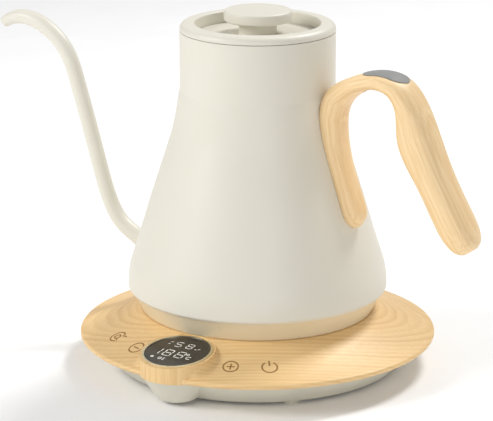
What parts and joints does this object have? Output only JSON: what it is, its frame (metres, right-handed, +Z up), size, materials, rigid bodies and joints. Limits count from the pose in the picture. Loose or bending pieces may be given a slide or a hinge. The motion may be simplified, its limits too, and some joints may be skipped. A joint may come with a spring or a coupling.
{
  "type": "gooseneck kettle",
  "caption": "Electric gooseneck kettle with a flared cream body, swan-neck spout, bent wooden handle and knobbed lid, on a round wooden heating base with a display pod.",
  "frame": {"origin": "where the kettle's turning axis meets the table, in the plane of the feet", "axes": "+Z up along the kettle's turning axis; +X towards the handle, so the spout points to -X; the display pod is on -Y"},
  "size_m": [0.3117, 0.2038, 0.2008],
  "materials": {
    "cream_enamel": "satin cream powder coat",
    "base_wood": "pale ash, satin lacquer",
    "handle_wood": "pale ash, oiled",
    "cream_plastic": "fine moulded texture",
    "grey_pad": "soft grey silicone",
    "polished_steel": "stainless steel of the heater floor and the lid pan",
    "ring_lacquer": "satin champagne lacquer on the steel foot ring",
    "screw_steel": "plain steel",
    "black_rubber": "matt",
    "clear_silicone": "translucent white silicone",
    "bezel_brass": "pale satin brass",
    "display_glass": "smoked glass",
    "component_black": "moulded component body",
    "circuit_board": "green solder mask",
    "dark_plastic": "heat-resistant moulding",
    "contact_brass": "plain brass"
  },
  "bodies": {
    "base": {"base_top_cover": "base_wood", "base_lower_shell": "cream_plastic", "base_feet": "black_rubber", "base_screws": "screw_steel", "cord_gland": "black_rubber", "display_bezel": "bezel_brass", "display_window": "display_glass", "display_module": "component_black", "display_board": "circuit_board", "touch_boards": "circuit_board", "touch_springs": "contact_brass", "power_board": "circuit_board", "relay": "component_black", "transformer": "component_black", "smoothing_capacitor": "component_black", "buzzer": "component_black", "base_connector": "dark_plastic", "base_contacts": "contact_brass"},
    "socket": {"connector_socket": "dark_plastic", "socket_contacts": "contact_brass"},
    "kettle": {"kettle_body": "cream_enamel", "spout": "cream_enamel", "rim_collar": "cream_enamel", "base_ring": "ring_lacquer", "heater_plate": "polished_steel", "heating_element": "polished_steel", "thermal_cutouts": "screw_steel", "temperature_probe": "polished_steel", "probe_seal": "clear_silicone", "bottom_cover": "dark_plastic", "bottom_cover_screws": "screw_steel", "socket_retainer": "dark_plastic", "retainer_screws": "screw_steel", "handle": "handle_wood", "handle_pad": "grey_pad", "handle_inserts": "contact_brass", "handle_seals": "clear_silicone", "handle_screws": "screw_steel"},
    "lid": {"lid_plate": "cream_enamel", "lid_knob": "cream_enamel", "lid_inner_pan": "polished_steel", "lid_seal": "clear_silicone", "lid_screw": "screw_steel"}
  },
  "joints": [
    {"name": "kettle_lift", "type": "slide", "parent": "base", "child": "socket", "axis": [0, 0, 1], "range_m": [0, 0.08]},
    {"name": "kettle_swivel", "type": "hinge", "parent": "socket", "child": "kettle", "pos_m": [0, 0, 0.04], "axis": [0, 0, 1], "continuous": true},
    {"name": "lid_lift", "type": "slide", "parent": "kettle", "child": "lid", "axis": [0, 0, 1], "range_m": [0, 0.045]}
  ]
}
